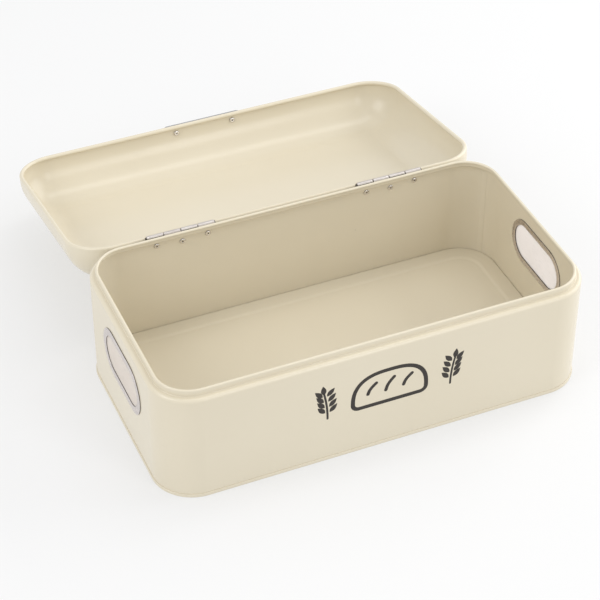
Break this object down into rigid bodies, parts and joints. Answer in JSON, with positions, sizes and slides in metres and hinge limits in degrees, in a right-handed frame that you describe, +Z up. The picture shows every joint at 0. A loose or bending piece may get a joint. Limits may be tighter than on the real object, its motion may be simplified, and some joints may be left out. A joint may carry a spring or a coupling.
{
  "type": "bread bin",
  "caption": "Rectangular sheet-steel bread bin with rounded corners, deep hinged lid, steel-rimmed oval hand-holds at the ends and a front lip pull.",
  "frame": {"origin": "point on the standing surface under the middle of the open bin's footprint (bin and folded-back lid together), on the bin's middle plane", "axes": "+X along the length of the bin, +Y from the front wall towards the hinges and the open lid, +Z up"},
  "size_m": [0.4322, 0.4732, 0.124],
  "materials": {
    "cream_enamel": "semi-gloss cream powder coat",
    "hinge_steel": "bright rolled steel",
    "handle_steel": "satin stainless steel",
    "pull_chrome": "bright chrome plate",
    "frosted_insert": "milky translucent sheet"
  },
  "bodies": {
    "bin": {"body_wall": "cream_enamel", "base_panel": "cream_enamel", "left_handle_grommet": "handle_steel", "left_handle_insert": "frosted_insert", "right_handle_grommet": "handle_steel", "right_handle_insert": "frosted_insert", "left_hinge_body_leaf": "hinge_steel", "left_hinge_pin": "hinge_steel", "left_hinge_body_rivet_a": "hinge_steel", "left_hinge_body_rivet_b": "hinge_steel", "left_hinge_body_rivet_c": "hinge_steel", "right_hinge_body_leaf": "hinge_steel", "right_hinge_pin": "hinge_steel", "right_hinge_body_rivet_a": "hinge_steel", "right_hinge_body_rivet_b": "hinge_steel", "right_hinge_body_rivet_c": "hinge_steel"},
    "lid": {"lid_shell": "cream_enamel", "lid_pull": "pull_chrome", "left_hinge_lid_leaf": "hinge_steel", "left_hinge_lid_rivet_a": "hinge_steel", "left_hinge_lid_rivet_b": "hinge_steel", "left_hinge_lid_rivet_c": "hinge_steel", "right_hinge_lid_leaf": "hinge_steel", "right_hinge_lid_rivet_a": "hinge_steel", "right_hinge_lid_rivet_b": "hinge_steel", "right_hinge_lid_rivet_c": "hinge_steel", "pull_rivet_left": "hinge_steel", "pull_rivet_right": "hinge_steel"}
  },
  "joints": [
    {"name": "lid_hinge", "type": "hinge", "parent": "bin", "child": "lid", "pos_m": [0, -0.00146, 0.1165], "axis": [1, 0, 0], "range_deg": [0, 190.5]}
  ]
}
